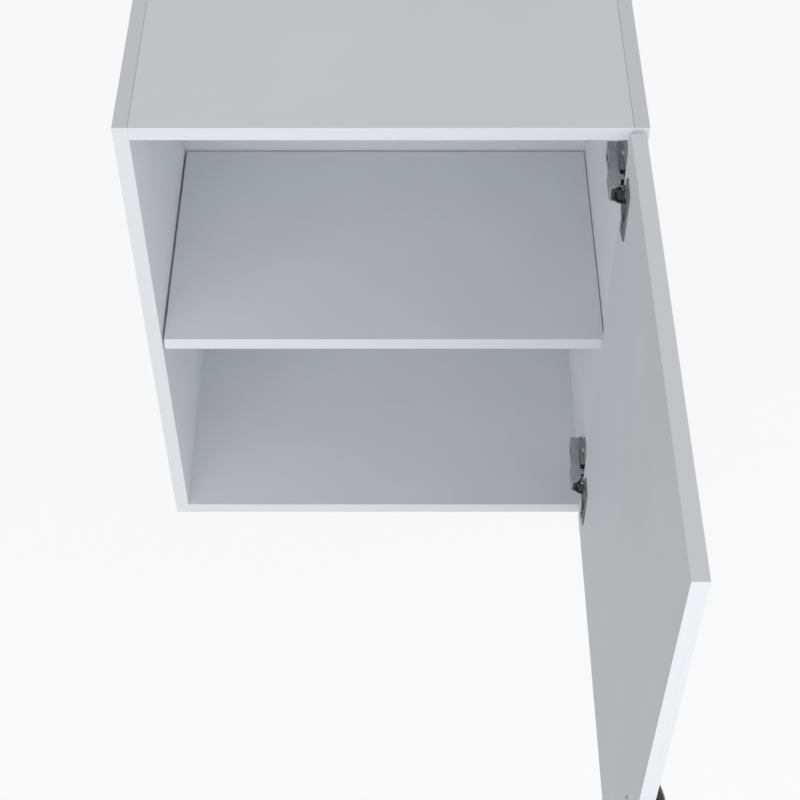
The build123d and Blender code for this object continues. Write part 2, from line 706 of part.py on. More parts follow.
def handle():
    """Arched bar with two round posts bored for the screws."""
    outer_face = DOOR_FACE + DOOR_THICKNESS
    radius = bar_radius()
    centre = outer_face + HANDLE_STANDOFF - radius
    ring = Circle(radius) - Circle(radius - HANDLE_BAR)
    window = Pos(radius, 0) * Rectangle(radius, HANDLE_LENGTH)
    ring_at = Plane((centre, HANDLE_LINE, HANDLE_LEVEL), x_dir=(1, 0, 0), z_dir=(0, -1, 0))
    bar = extrude(ring_at * (ring & window), HANDLE_WIDTH / 2, both=True)
    bar = fillet(bar.edges(), HANDLE_EDGE)
    for z in handle_screw_levels():
        rise = z - HANDLE_LEVEL
        inner_arc = centre + math.sqrt((radius - HANDLE_BAR) ** 2 - rise ** 2)
        bar += rod_x(outer_face, inner_arc + HANDLE_BAR / 2, HANDLE_LINE, z, POST_RADIUS)
        bore_end = outer_face + HANDLE_SCREW[3] + FIT * 4
        bar -= rod_x(outer_face, bore_end, HANDLE_LINE, z, HANDLE_SCREW[2] + SCREW_FIT)
    return bar


def handle_screws():
    """Machine screws through the door into the handle's posts."""
    sizes = (*HANDLE_SCREW[:3], HANDLE_SCREW[3] + DOOR_THICKNESS)
    return [screw_x(DOOR_FACE, HANDLE_LINE, z, sizes, 1) for z in handle_screw_levels()]


# Assembly

def both_hands(make, lines):
    """Piece on the left and on the right at every line."""
    return [make(hand, *line) for hand in (-1, 1) for line in lines]


def pieces():
    """Every named piece of the cabinet, each as a list of solids."""
    pin_lines = [(y,) for y in corners(PIN_FRONT_INSET, PIN_REAR_INSET)]
    bolt_lines = [(y, under + BOARD / 2) for y, under in cam_lines()]
    named = {
        "side_left": [side_panel(-1)],
        "side_right": [side_panel(1)],
        "top_panel": [cross_panel(TOP - BOARD, False)],
        "bottom_panel": [cross_panel(UNDER, True)],
        "back_panel": [back_panel()],
        "shelf": [shelf()],
        "shelf_pins": both_hands(shelf_pin, pin_lines),
        "cam_discs": both_hands(cam_disc, list(cam_lines())),
        "cam_bolts": both_hands(cam_bolt, bolt_lines),
        "dowels": both_hands(dowel, list(dowel_lines())),
        "wall_rail": [wall_rail()],
        "hanger_left": [hanger(-1)],
        "hanger_right": [hanger(1)],
        "hanger_screws": hanger_screws(),
        "plate_screws": plate_screws(),
        "plate_pads": [plate_pad(level) for level in HINGE_LEVELS.values()],
        "cup_screws": cup_screws(),
        "door_panel": [door_panel()],
        "handle": [handle()],
        "handle_screws": handle_screws(),
    }
    for place, level in HINGE_LEVELS.items():
        named[f"mounting_plate_{place}"] = [mounting_plate(level)]
        named[f"hinge_arm_{place}"] = [hinge_arm(level)]
        named[f"arm_pins_{place}"] = arm_pins(level)
        named[f"arm_screws_{place}"] = arm_screws(level)
        named[f"arm_spring_{place}"] = [arm_spring(level)]
        named[f"swan_link_{place}"] = [swan_link(level)]
        named[f"fork_link_{place}"] = [fork_link(level)]
        named[f"hinge_cup_{place}"] = [hinge_cup(level)]
        named[f"cup_pin_{place}"] = [cup_pin(level)]
    return named


def main():
    """Write one STEP file for each named piece."""
    os.makedirs("parts", exist_ok=True)
    for name, solids in pieces().items():
        whole = solids[0] if len(solids) == 1 else Compound(children=list(solids))
        whole.label = name
        export_step(whole, f"parts/{name}.step")
    turns = {"swan": link_turn(PIVOT_A, CUP_PIN_A), "fork": link_turn(PIVOT_B, CUP_PIN_B)}
    for link, turn in turns.items():
        relative = CLOSED_SWING - turns["swan"]
        print(f"{link} link turns {turn:.4f} degrees, ratio {turn / relative:.6f}")
    for label, point in {"swan pivot": PIVOT_A, "fork pivot": PIVOT_B, "swan cup pin": PIN_A}.items():
        print(f"{label} at X {point.real:.4f}, Y {point.imag:.4f}")


main()
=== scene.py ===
import logging
import math
from dataclasses import dataclass, field
from enum import Enum

import bmesh
import bpy
from mathutils import Matrix, Vector


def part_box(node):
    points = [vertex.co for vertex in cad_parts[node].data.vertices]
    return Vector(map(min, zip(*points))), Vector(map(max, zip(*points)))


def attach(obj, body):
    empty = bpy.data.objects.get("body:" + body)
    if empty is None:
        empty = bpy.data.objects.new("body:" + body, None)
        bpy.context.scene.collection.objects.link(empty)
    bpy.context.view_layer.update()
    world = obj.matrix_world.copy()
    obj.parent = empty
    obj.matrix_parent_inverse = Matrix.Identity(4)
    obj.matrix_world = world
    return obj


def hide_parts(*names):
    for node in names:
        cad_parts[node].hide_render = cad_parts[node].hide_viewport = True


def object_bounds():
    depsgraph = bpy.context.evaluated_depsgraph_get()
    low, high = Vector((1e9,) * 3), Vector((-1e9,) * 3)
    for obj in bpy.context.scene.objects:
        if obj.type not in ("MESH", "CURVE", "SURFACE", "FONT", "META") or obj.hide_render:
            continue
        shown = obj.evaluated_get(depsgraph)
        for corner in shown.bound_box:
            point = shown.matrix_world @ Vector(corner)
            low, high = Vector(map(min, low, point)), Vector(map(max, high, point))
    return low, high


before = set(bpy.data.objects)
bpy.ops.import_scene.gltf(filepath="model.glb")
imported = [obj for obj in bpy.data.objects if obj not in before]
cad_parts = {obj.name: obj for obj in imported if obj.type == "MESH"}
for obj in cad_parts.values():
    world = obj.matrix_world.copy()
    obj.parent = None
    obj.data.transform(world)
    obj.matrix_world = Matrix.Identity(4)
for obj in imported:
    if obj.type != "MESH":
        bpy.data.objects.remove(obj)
CAD_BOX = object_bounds()

Colour = tuple[float, float, float]
Triple = tuple[float, float, float]
Socket = bpy.types.NodeSocket
Corners = tuple[Vector, Vector]

LOG = logging.getLogger("wall_cabinet")

MM = 0.001


class Axis(Enum):
    """Axes of the shared frame, by index."""

    X = 0
    Y = 1
    Z = 2


class Body(Enum):
    """Rigid groups that the pieces move with."""

    CABINET = "cabinet"
    DOOR = "door"
    SWAN = "swan_links"
    FORK = "fork_links"


class Place(Enum):
    """The two hinges."""

    UPPER = "upper"
    LOWER = "lower"


# Shader nodes

class ShaderTree:
    """Short way to build a material from nodes."""

    def __init__(self, name: str) -> None:
        """Start an empty material.

        Args:
            name: Name of the material.
        """
        self.material = bpy.data.materials.new(name)
        self.material.use_nodes = True
        self.nodes = self.material.node_tree.nodes
        self.links = self.material.node_tree.links
        self.nodes.clear()
        self.output = self.nodes.new("ShaderNodeOutputMaterial")
        self.shader = self.nodes.new("ShaderNodeBsdfPrincipled")
        self.links.new(self.shader.outputs["BSDF"], self.output.inputs["Surface"])
        self.place = self.nodes.new("ShaderNodeTexCoord")

    def node(self, kind: str, **settings: object) -> bpy.types.ShaderNode:
        """Add a node.

        Args:
            kind: Node type without its ShaderNode prefix.
            settings: Attributes of the node, or values of its named inputs.

        Returns:
            The new node.
        """
        made = self.nodes.new(f"ShaderNode{kind}")
        for key, value in settings.items():
            if hasattr(made, key):
                setattr(made, key, value)
            else:
                made.inputs[key.replace("_", " ")].default_value = value
        return made

    def feed(self, **sources: object) -> None:
        """Set named sockets of the shader, each to a constant or from a socket."""
        for key, source in sources.items():
            target = self.shader.inputs[key.replace("_", " ")]
            if isinstance(source, bpy.types.NodeSocket):
                self.links.new(source, target)
            else:
                target.default_value = source

    def spot(self, stretch: Triple = (1.0, 1.0, 1.0)) -> Socket:
        """Object coordinates in metres, with each axis scaled.

        Args:
            stretch: Scale of each axis.

        Returns:
            The vector socket.
        """
        mapping = self.node("Mapping", Scale=stretch)
        self.links.new(self.place.outputs["Object"], mapping.inputs["Vector"])
        return mapping.outputs["Vector"]

    def parts(self, source: Socket) -> list[Socket]:
        """Three parts of a vector.

        Args:
            source: Vector socket.

        Returns:
            Its X, Y and Z sockets.
        """
        made = self.node("SeparateXYZ")
        self.links.new(source, made.inputs[0])
        return list(made.outputs)

    def noise(self, scale: float, detail: float = 3.0, stretch: Triple = (1.0, 1.0, 1.0)) -> Socket:
        """Noise on Object coordinates.

        Args:
            scale: Cells per metre.
            detail: Octaves.
            stretch: Scale of each axis before the noise.

        Returns:
            The factor socket.
        """
        made = self.node("TexNoise", Scale=scale, Detail=detail)
        self.links.new(self.spot(stretch), made.inputs["Vector"])
        return made.outputs["Fac"]

    def cells(self, scale: float, output: str = "Distance", stretch: Triple = (1.0, 1.0, 1.0)) -> Socket:
        """Voronoi cells on Object coordinates.

        Args:
            scale: Cells per metre.
            output: Which result to take.
            stretch: Scale of each axis before the cells.

        Returns:
            The chosen socket.
        """
        made = self.node("TexVoronoi", Scale=scale)
        self.links.new(self.spot(stretch), made.inputs["Vector"])
        return made.outputs[output]

    def math(self, operation: str, *operands: object) -> Socket:
        """Math node whose operands are sockets or numbers.

        Args:
            operation: Blender's name of the operation.
            operands: Its operands.

        Returns:
            The value socket.
        """
        made = self.node("Math", operation=operation)
        for index, operand in enumerate(operands):
            if isinstance(operand, (int, float)):
                made.inputs[index].default_value = operand
            else:
                self.links.new(operand, made.inputs[index])
        return made.outputs[0]

    def span(self, factor: Socket, low: float, high: float, bottom: float = 0.0, top: float = 1.0) -> Socket:
        """Map a factor from one span to another, clamped.

        Args:
            factor: Socket to map.
            low: Start of its own span.
            high: End of its own span.
            bottom: Result at low.
            top: Result at high.

        Returns:
            The mapped socket.
        """
        made = self.node("MapRange")
        for key, value in (("From Min", low), ("From Max", high), ("To Min", bottom), ("To Max", top)):
            made.inputs[key].default_value = value
        self.links.new(factor, made.inputs["Value"])
        return made.outputs["Result"]

    def mix(self, factor: Socket, first: object, second: object) -> Socket:
        """Blend two colours.

        Args:
            factor: Blend socket, 0 for the first colour.
            first: Colour or colour socket.
            second: Colour or colour socket.

        Returns:
            The colour socket.
        """
        made = self.node("Mix", data_type="RGBA")
        self.links.new(factor, made.inputs["Factor"])
        for index, operand in ((6, first), (7, second)):
            if isinstance(operand, tuple):
                made.inputs[index].default_value = (*operand, 1.0)
            else:
                self.links.new(operand, made.inputs[index])
        return made.outputs[2]

    def bump(self, height: Socket, distance: float, under: Socket | None = None) -> Socket:
        """Bump from a height, over an earlier bump if one is given.

        Args:
            height: Height socket, 0 to 1.
            distance: Depth of that range in metres.
            under: Normal of an earlier bump.

        Returns:
            The normal socket.
        """
        made = self.node("Bump", Distance=distance)
        self.links.new(height, made.inputs["Height"])
        if under is not None:
            self.links.new(under, made.inputs["Normal"])
        return made.outputs["Normal"]

    def depth_in(self, corners: Corners, axes: tuple[Axis, ...]) -> Socket:
        """Distance to the nearest side of a box, along some of its axes.

        Args:
            corners: Lowest and highest corner of the box.
            axes: Axes whose sides count.

        Returns:
            The distance socket, in metres.
        """
        coordinates = self.parts(self.place.outputs["Object"])
        nearest = None
        for axis in axes:
            low = self.math("SUBTRACT", coordinates[axis.value], corners[0][axis.value])
            high = self.math("SUBTRACT", corners[1][axis.value], coordinates[axis.value])
            both = self.math("MINIMUM", low, high)
            nearest = both if nearest is None else self.math("MINIMUM", nearest, both)
        return nearest

    def facing(self, axis: Axis, sign: float) -> Socket:
        """1 where the surface faces along an axis, in the piece's own frame.

        Args:
            axis: Axis to test.
            sign: 1 or -1 for its direction.

        Returns:
            The mask socket.
        """
        part = self.parts(self.place.outputs["Normal"])[axis.value]
        return self.math("GREATER_THAN", self.math("MULTIPLY", part, sign), 0.6)


# Finishes

@dataclass(frozen=True)
class Chipboard:
    """Raw chipboard: pressed chips of several browns."""

    light: Colour = (0.52, 0.37, 0.22)
    dark: Colour = (0.25, 0.15, 0.08)

    def colour(self, tree: ShaderTree) -> Socket:
        """Colour of the chips.

        Args:
            tree: Material that the chips go into.

        Returns:
            The colour socket.
        """
        chips = tree.cells(900.0, "Color", (1.0, 0.5, 0.7))
        tone = tree.parts(chips)[0]
        return tree.mix(tree.math("MULTIPLY_ADD", tree.noise(2500.0), 0.5, tree.math("MULTIPLY", tone, 0.55)),
                        self.light, self.dark)


@dataclass(frozen=True)
class MelamineBoard:
    """White melamine-faced board with banded edges, and bare chips in its bores and grooves."""

    name: str
    face: Colour = (0.800, 0.822, 0.850)
    band: Colour = (0.752, 0.772, 0.800)
    core: Chipboard = Chipboard()
    roughness: float = 0.62
    band_thickness: float = 0.8 * MM
    seam_half: float = 0.07 * MM
    joint_width: float = 0.55 * MM
    joint_tone: Colour = (0.42, 0.43, 0.45)

    def material(self, corners: Corners, banded: tuple[Axis, ...], thin: Axis,
                 bare_rear: bool = True, joint: float | None = None) -> bpy.types.Material:
        """Build the finish for one board.

        Args:
            corners: Corners of the board.
            banded: Axes whose end faces carry a band.
            thin: Axis of the board's thickness.
            bare_rear: Whether the edge at the wall is bare chipboard.
            joint: Distance from the middle plane where another board meets its ends.

        Returns:
            The material.
        """
        tree = ShaderTree(self.name)
        mottle = tree.noise(9.0, detail=4.0)
        shade = tuple(0.975 * part for part in self.face)
        colour = tree.mix(tree.span(mottle, 0.35, 0.65), self.face, shade)
        on_face = tree.math("ADD", tree.facing(thin, 1.0), tree.facing(thin, -1.0))
        colour = tree.mix(on_face, self.band, colour)
        rim = tree.depth_in(corners, banded)
        off_seam = tree.math("ABSOLUTE", tree.math("SUBTRACT", rim, self.band_thickness))
        seam = tree.math("MULTIPLY", tree.span(off_seam, 0.0, self.seam_half, 1.0, 0.0), on_face)
        colour = tree.mix(tree.math("MULTIPLY", seam, 0.45), colour, (0.42, 0.41, 0.40))
        bare = tree.math("GREATER_THAN", tree.depth_in(corners, tuple(Axis)), 0.55 * MM)
        if bare_rear:
            bare = tree.math("MAXIMUM", bare, tree.facing(Axis.Y, 1.0))
        colour = tree.mix(bare, colour, self.core.colour(tree))
        if joint is not None:
            across = tree.math("ABSOLUTE", tree.parts(tree.place.outputs["Object"])[Axis.X.value])
            near = tree.math("LESS_THAN", across, joint + self.joint_width)
            flat = tree.math("ADD", tree.facing(Axis.Z, 1.0), tree.facing(Axis.Z, -1.0))
            colour = tree.mix(tree.math("MULTIPLY", near, flat), colour, self.joint_tone)
        grain = tree.noise(2600.0, detail=2.0)
        smooth = tree.span(grain, 0.2, 0.8, self.roughness - 0.05, self.roughness + 0.05)
        normal = tree.bump(tree.math("SUBTRACT", tree.math("MULTIPLY", grain, 0.12), seam), 0.05 * MM)
        rough = tree.math("MAXIMUM", smooth, tree.math("MULTIPLY", bare, 0.9))
        chips = tree.bump(tree.math("MULTIPLY", tree.noise(1500.0), bare), 0.4 * MM, normal)
        tree.feed(Base_Color=colour, Roughness=rough, Normal=chips, Specular_IOR_Level=0.12)
        return tree.material


@dataclass(frozen=True)
class Hardboard:
    """Thin back: lacquered white in front, bare brown fibres at the rear."""

    name: str
    front: Colour = (0.745, 0.766, 0.787)
    fibre: Colour = (0.30, 0.17, 0.085)
    pale: Colour = (0.42, 0.26, 0.14)

    def material(self) -> bpy.types.Material:
        """Build the finish.

        Returns:
            The material.
        """
        tree = ShaderTree(self.name)
        shade = tuple(0.975 * part for part in self.front)
        lacquer = tree.mix(tree.span(tree.noise(12.0), 0.35, 0.65), self.front, shade)
        hair = tree.noise(700.0, detail=5.0, stretch=(1.0, 1.0, 0.35))
        brown = tree.mix(tree.span(hair, 0.3, 0.7), self.fibre, self.pale)
        painted = tree.facing(Axis.Y, -1.0)
        screen = tree.cells(420.0)
        height = tree.math("MULTIPLY", tree.math("SUBTRACT", 1.0, painted), screen)
        fine = tree.bump(tree.noise(2200.0), 0.006 * MM)
        tree.feed(Base_Color=tree.mix(painted, brown, lacquer), Roughness=tree.span(painted, 0.0, 1.0, 0.9, 0.66),
                  Normal=tree.bump(height, 0.3 * MM, fine), Specular_IOR_Level=0.12)
        return tree.material


@dataclass(frozen=True)
class PlatedSteel:
    """Plated steel: fine rolling lines along one axis, cloudy tone, and painted shade in a pressed slot."""

    name: str
    light: Colour = (0.52, 0.53, 0.545)
    dark: Colour = (0.39, 0.40, 0.415)
    roughness: float = 0.45
    metallic: float = 0.45
    lines: Triple = (1.0, 0.05, 1.0)
    edge_gloss: float = 0.35
    slot_painted_shade: Colour = (0.018, 0.019, 0.021)
    slot_wall: float = 0.4 * MM

    def material(self, slot: Corners | None = None) -> bpy.types.Material:
        """Build the finish.

        Args:
            slot: Corners of a pressed slot in the face towards -X, painted near-black as shade.

        Returns:
            The material.
        """
        tree = ShaderTree(self.name)
        rolled = tree.noise(2300.0, detail=3.0, stretch=self.lines)
        cloud = tree.noise(120.0, detail=4.0)
        tone = tree.math("MULTIPLY_ADD", cloud, 0.65, tree.math("MULTIPLY", rolled, 0.35))
        colour = tree.mix(tree.span(tone, 0.36, 0.62), self.dark, self.light)
        rough = tree.span(rolled, 0.25, 0.75, self.roughness - 0.06, self.roughness + 0.1)
        fine = tree.bump(rolled, 0.008 * MM)
        if slot is not None:
            # Painted shade: the slot's face towards -X is darkened to near-black, fading in over slot_wall from
            # its sides.
            sunk = tree.span(tree.depth_in(slot, (Axis.Y, Axis.Z)), 0.0, self.slot_wall)
            colour = tree.mix(tree.math("MULTIPLY", sunk, tree.facing(Axis.X, -1.0)), colour, self.slot_painted_shade)
        dents = tree.bump(tree.noise(260.0, detail=1.0), 0.03 * MM, fine)
        gloss = (self.edge_gloss, self.edge_gloss, self.edge_gloss, 1.0)
        tree.feed(Base_Color=colour, Roughness=rough, Normal=dents, Metallic=self.metallic,
                  Specular_Tint=gloss, Specular_IOR_Level=0.2)
        return tree.material


@dataclass(frozen=True)
class CastMetal:
    """Die-cast metal with a grainy skin and faint flow marks."""

    name: str
    light: Colour = (0.55, 0.56, 0.58)
    dark: Colour = (0.40, 0.41, 0.43)

    def material(self) -> bpy.types.Material:
        """Build the finish.

        Returns:
            The material.
        """
        tree = ShaderTree(self.name)
        flow = tree.noise(160.0, detail=5.0)
        grain = tree.noise(3200.0, detail=2.0)
        tree.feed(Base_Color=tree.mix(tree.span(flow, 0.35, 0.65), self.dark, self.light),
                  Roughness=tree.span(grain, 0.2, 0.8, 0.38, 0.55), Metallic=0.7,
                  Normal=tree.bump(grain, 0.012 * MM))
        return tree.material


@dataclass(frozen=True)
class PowderCoat:
    """Black powder coat with a fine orange peel."""

    name: str
    colour: Colour = (0.009, 0.009, 0.010)
    worn: Colour = (0.016, 0.016, 0.018)
    roughness: float = 0.42
    gloss: float = 0.4

    def material(self) -> bpy.types.Material:
        """Build the finish.

        Returns:
            The material.
        """
        tree = ShaderTree(self.name)
        peel = tree.noise(1500.0, detail=2.0)
        cloud = tree.noise(60.0, detail=4.0)
        tree.feed(Base_Color=tree.mix(tree.span(cloud, 0.35, 0.7), self.colour, self.worn),
                  Roughness=tree.span(peel, 0.2, 0.8, self.roughness - 0.04, self.roughness + 0.07),
                  Normal=tree.bump(peel, 0.02 * MM), Specular_IOR_Level=0.3,
                  Specular_Tint=(self.gloss, self.gloss, self.gloss, 1.0))
        return tree.material


@dataclass(frozen=True)
class MouldedPlastic:
    """Matt black plastic with a spark-eroded skin."""

    name: str
    colour: Colour = (0.012, 0.012, 0.013)

    def material(self) -> bpy.types.Material:
        """Build the finish.

        Returns:
            The material.
        """
        tree = ShaderTree(self.name)
        skin = tree.noise(4200.0, detail=2.0)
        lighter = tuple(1.6 * part for part in self.colour)
        tree.feed(Base_Color=tree.mix(tree.span(tree.noise(300.0), 0.4, 0.6), self.colour, lighter),
                  Roughness=tree.span(skin, 0.2, 0.8, 0.5, 0.68), Normal=tree.bump(skin, 0.01 * MM))
        return tree.material


@dataclass(frozen=True)
class PlainWood:
    """Plain beech with short flecks along one axis."""

    name: str
    colour: Colour = (0.62, 0.44, 0.27)
    fleck: Colour = (0.44, 0.28, 0.15)
    along: Triple = (0.06, 1.0, 1.0)

    def material(self) -> bpy.types.Material:
        """Build the finish.

        Returns:
            The material.
        """
        tree = ShaderTree(self.name)
        flecks = tree.noise(1100.0, detail=4.0, stretch=self.along)
        tree.feed(Base_Color=tree.mix(tree.span(flecks, 0.45, 0.68), self.colour, self.fleck), Roughness=0.62,
                  Normal=tree.bump(flecks, 0.08 * MM))
        return tree.material


# Pieces

def dress(node: str, material: bpy.types.Material) -> None:
    """Give a CAD node its finish.

    Args:
        node: Name of the node.
        material: Finish for all its slots.
    """
    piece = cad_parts[node]
    piece.data.materials.clear()
    piece.data.materials.append(material)
    LOG.info("dressed %s", node)


def solid_boxes(node: str) -> list[Corners]:
    """Boxes of a node's separate solids.

    Args:
        node: Name of the node.

    Returns:
        Lowest and highest corner of each solid.
    """
    shape = bmesh.new()
    shape.from_mesh(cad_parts[node].data)
    bmesh.ops.remove_doubles(shape, verts=shape.verts, dist=0.002 * MM)
    left = set(shape.verts)
    boxes = []
    while left:
        seed = left.pop()
        island, edge_of = [seed], [seed]
        while edge_of:
            for edge in edge_of.pop().link_edges:
                for vertex in edge.verts:
                    if vertex in left:
                        left.discard(vertex)
                        island.append(vertex)
                        edge_of.append(vertex)
        low = Vector([min(vertex.co[axis] for vertex in island) for axis in range(3)])
        high = Vector([max(vertex.co[axis] for vertex in island) for axis in range(3)])
        boxes.append((low, high))
    shape.free()
    return sorted(boxes, key=lambda box: tuple(box[0]))


def finish_piece(name: str, shape: bmesh.types.BMesh, body: Body, material: bpy.types.Material,
                 nodes: tuple[str, ...], sharp: float = 30.0) -> bpy.types.Object:
    """Turn a bmesh into a piece that rides on a body and stands for CAD nodes.

    Args:
        name: Name of the piece.
        shape: Its geometry, which is freed.
        body: Body that it moves with.
        material: Its finish.
        nodes: CAD nodes that it stands for.
        sharp: Angle in degrees above which an edge stays sharp.

    Returns:
        The piece.
    """
    bmesh.ops.recalc_face_normals(shape, faces=shape.faces)
    for face in shape.faces:
        face.smooth = True
    for edge in shape.edges:
        edge.smooth = len(edge.link_faces) == 2 and edge.calc_face_angle(0.0) < math.radians(sharp)
    mesh = bpy.data.meshes.new(name)
    shape.to_mesh(mesh)
    shape.free()
    mesh.materials.append(material)
    piece = bpy.data.objects.new(name, mesh)
    bpy.context.scene.collection.objects.link(piece)
    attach(piece, body.value)
    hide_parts(*nodes)
    LOG.info("built %s for %s", name, ", ".join(nodes))
    return piece


def eased(node: str, width: float, steps: int = 2) -> bmesh.types.BMesh:
    """Merged copy of a CAD node whose sharp edges are rolled over.

    Args:
        node: Name of the node.
        width: Width of the roll.
        steps: Segments across it.

    Returns:
        The shape.
    """
    shape = bmesh.new()
    shape.from_mesh(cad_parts[node].data)
    bmesh.ops.remove_doubles(shape, verts=shape.verts, dist=0.002 * MM)
    bmesh.ops.dissolve_limit(shape, angle_limit=math.radians(0.6), verts=shape.verts, edges=shape.edges)
    sharp = [edge for edge in shape.edges
             if len(edge.link_faces) == 2 and edge.calc_face_angle(0.0) > math.radians(40.0)]
    bmesh.ops.bevel(shape, geom=sharp, offset=width, offset_type="OFFSET", segments=steps, profile=0.5,
                    affect="EDGES", clamp_overlap=True, material=-1)
    bmesh.ops.remove_doubles(shape, verts=shape.verts, dist=0.001 * MM)
    return shape


@dataclass
class ScrewHead:
    """Screw with a domed head and a cross recess, made upright and then laid along X."""

    recess_share: float = 0.58
    recess_half: float = 0.14
    recess_depth: float = 0.62
    round_share: float = 0.5
    rounds: int = 32
    root: float = 0.1 * MM
    tip_share: float = 0.35

    def upright(self, radius: float, height: float, shank: float, length: float) -> bmesh.types.BMesh:
        """Screw with its seat at the origin and its head upwards.

        Args:
            radius: Radius of the head.
            height: Height of the head.
            shank: Radius of the shank.
            length: Length of the shank.

        Returns:
            The shape.
        """
        shape = bmesh.new()
        disc = bmesh.ops.create_circle(shape, cap_ends=True, radius=radius, segments=self.rounds)
        face = disc["verts"][0].link_faces[0]
        raised = bmesh.ops.extrude_face_region(shape, geom=[face], use_keep_orig=True)["geom"]
        top = [item for item in raised if isinstance(item, bmesh.types.BMVert)]
        bmesh.ops.translate(shape, verts=top, vec=(0.0, 0.0, height))
        rim = [edge for edge in shape.edges if all(vertex.co.z > height / 2 for vertex in edge.verts)]
        bmesh.ops.bevel(shape, geom=rim, offset=height * self.round_share, offset_type="OFFSET", segments=4,
                        profile=0.5, affect="EDGES", clamp_overlap=True, material=-1)
        self.cut_cross(shape, radius, height)
        straight = length - shank + self.root
        rod = bmesh.ops.create_cone(shape, cap_ends=True, segments=20, radius1=shank, radius2=shank,
                                    depth=straight)["verts"]
        bmesh.ops.translate(shape, verts=rod, vec=(0.0, 0.0, self.root - straight / 2))
        end = min({face for vertex in rod for face in vertex.link_faces},
                  key=lambda face: face.calc_center_median().z)
        drawn = bmesh.ops.extrude_face_region(shape, geom=[end])["geom"]
        bmesh.ops.delete(shape, geom=[end], context="FACES")
        tip = [item for item in drawn if isinstance(item, bmesh.types.BMVert)]
        bmesh.ops.translate(shape, verts=tip, vec=(0.0, 0.0, -shank))
        bmesh.ops.scale(shape, verts=tip, vec=(self.tip_share, self.tip_share, 1.0))
        return shape

    def cut_cross(self, shape: bmesh.types.BMesh, radius: float, height: float) -> None:
        """Sink a cross into the flat of the head.

        Args:
            shape: Shape whose top flat lies at the height.
            radius: Radius of the head.
            height: Height of the head.
        """
        long, half = radius * self.recess_share, radius * self.recess_half
        for axis in (Vector((1.0, 0.0, 0.0)), Vector((0.0, 1.0, 0.0))):
            for distance in (-long, -half, half, long):
                flat = [face for face in shape.faces if face.calc_center_median().z > height * 0.99]
                parts = list({item for face in flat for item in (*face.verts, *face.edges)}) + flat
                bmesh.ops.bisect_plane(shape, geom=parts, plane_co=axis * distance, plane_no=axis)
        cross = []
        for face in shape.faces:
            middle = face.calc_center_median()
            near, far = sorted((abs(middle.x), abs(middle.y)))
            if middle.z > height * 0.99 and near < half and far < long:
                cross.append(face)
        sunk = bmesh.ops.extrude_face_region(shape, geom=cross)["geom"]
        bmesh.ops.delete(shape, geom=cross, context="FACES")
        floor = [item for item in sunk if isinstance(item, bmesh.types.BMVert)]
        bmesh.ops.translate(shape, verts=floor, vec=(0.0, 0.0, -height * self.recess_depth))
        bmesh.ops.scale(shape, verts=floor, vec=(0.7, 0.7, 1.0))

    def along_x(self, sizes: tuple[float, float, float, float], seat: Vector, way: float,
                turn: float) -> bmesh.types.BMesh:
        """Screw laid along X.

        Args:
            sizes: Head radius, head height, shank radius and shank length.
            seat: Middle of the head's seat.
            way: 1 when the tip points to +X, else -1.
            turn: Turn of the cross in degrees.

        Returns:
            The shape.
        """
        shape = self.upright(*sizes)
        spin = Matrix.Rotation(math.radians(turn), 4, "Z")
        lay = Matrix.Rotation(math.radians(-90.0 * way), 4, "Y")
        bmesh.ops.transform(shape, matrix=Matrix.Translation(seat) @ lay @ spin, verts=shape.verts)
        return shape


def gather(shapes: list[bmesh.types.BMesh]) -> bmesh.types.BMesh:
    """Join several shapes into one.

    Args:
        shapes: Shapes to join, which are freed.

    Returns:
        The joined shape.
    """
    whole = bmesh.new()
    for shape in shapes:
        mesh = bpy.data.meshes.new("part")
        shape.to_mesh(mesh)
        shape.free()
        whole.from_mesh(mesh)
        bpy.data.meshes.remove(mesh)
    return whole


@dataclass
class ScrewSet:
    """All the screws of one CAD node."""

    node: str
    sizes: tuple[float, float, float, float]
    body: Body
    slot: str = "zinc_plated_steel"
    first_turn: float = 12.0

    def make(self, material: bpy.types.Material) -> None:
        """Build a screw at each solid of the node.

        Args:
            material: Finish of the screws.
        """
        shapes = []
        for index, (low, high) in enumerate(solid_boxes(self.node)):
            middle = (low + high) / 2
            way = -1.0 if middle.x < 0.0 else 1.0
            head_end = low.x if way > 0 else high.x
            seat = Vector((head_end + way * self.sizes[1], middle.y, middle.z))
            turn = self.first_turn + 37.0 * index
            shapes.append(ScrewHead().along_x(self.sizes, seat, way, turn))
        name = f"{self.node}_crosshead"
        finish_piece(name, gather(shapes), self.body, material, (self.node,), sharp=38.0)


